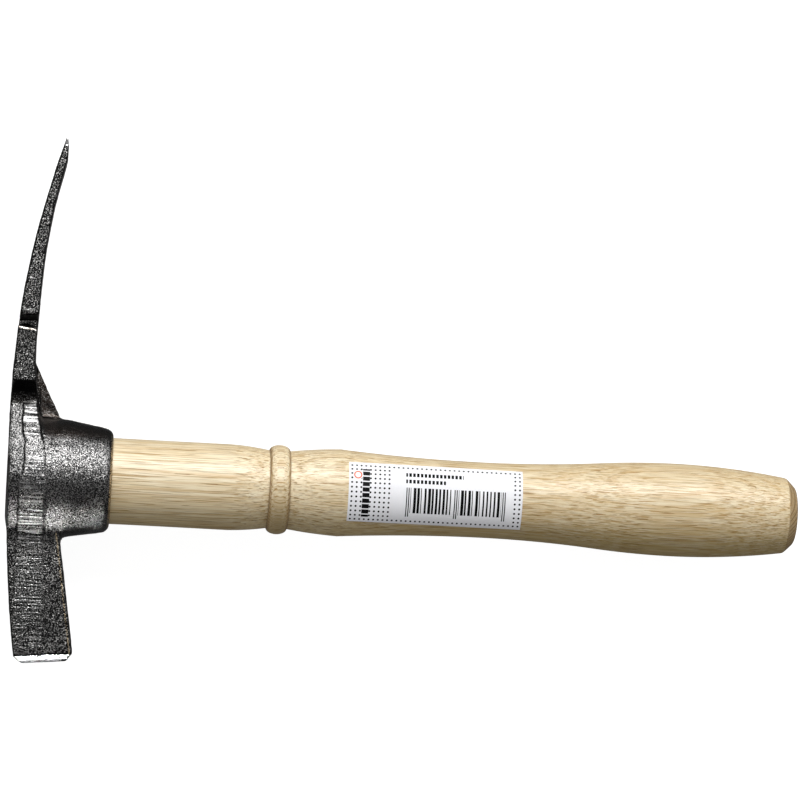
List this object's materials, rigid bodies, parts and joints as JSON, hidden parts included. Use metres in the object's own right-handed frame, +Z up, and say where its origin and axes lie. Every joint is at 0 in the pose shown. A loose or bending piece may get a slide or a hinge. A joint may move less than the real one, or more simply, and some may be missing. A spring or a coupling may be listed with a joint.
{
  "type": "brick hammer",
  "caption": "Bricklayer's hammer with a square striking poll, a thin curved chisel blade with a side notch, and a turned wooden handle held in a conical socket.",
  "frame": {"origin": "on the floor under the middle of the bounding box, the hammer lying on its side", "axes": "+X along the handle from the head to the butt, +Y along the head from the striking face to the cutting edge, +Z up out of the cheek with the side notch"},
  "size_m": [0.2798, 0.1836, 0.0416],
  "materials": {
    "forged_steel": "black-oxide forged skin, satin, with bright ground bevels",
    "ash": "pale turned ash, thin clear coat",
    "wedge_wood": "raw hardwood",
    "wedge_steel": "plain mild steel",
    "label_paper": "coated white paper with plain print"
  },
  "bodies": {
    "root": {"head": "forged_steel", "handle": "ash", "wooden_wedge": "wedge_wood", "steel_wedge": "wedge_steel", "label": "label_paper"}
  },
  "joints": []
}
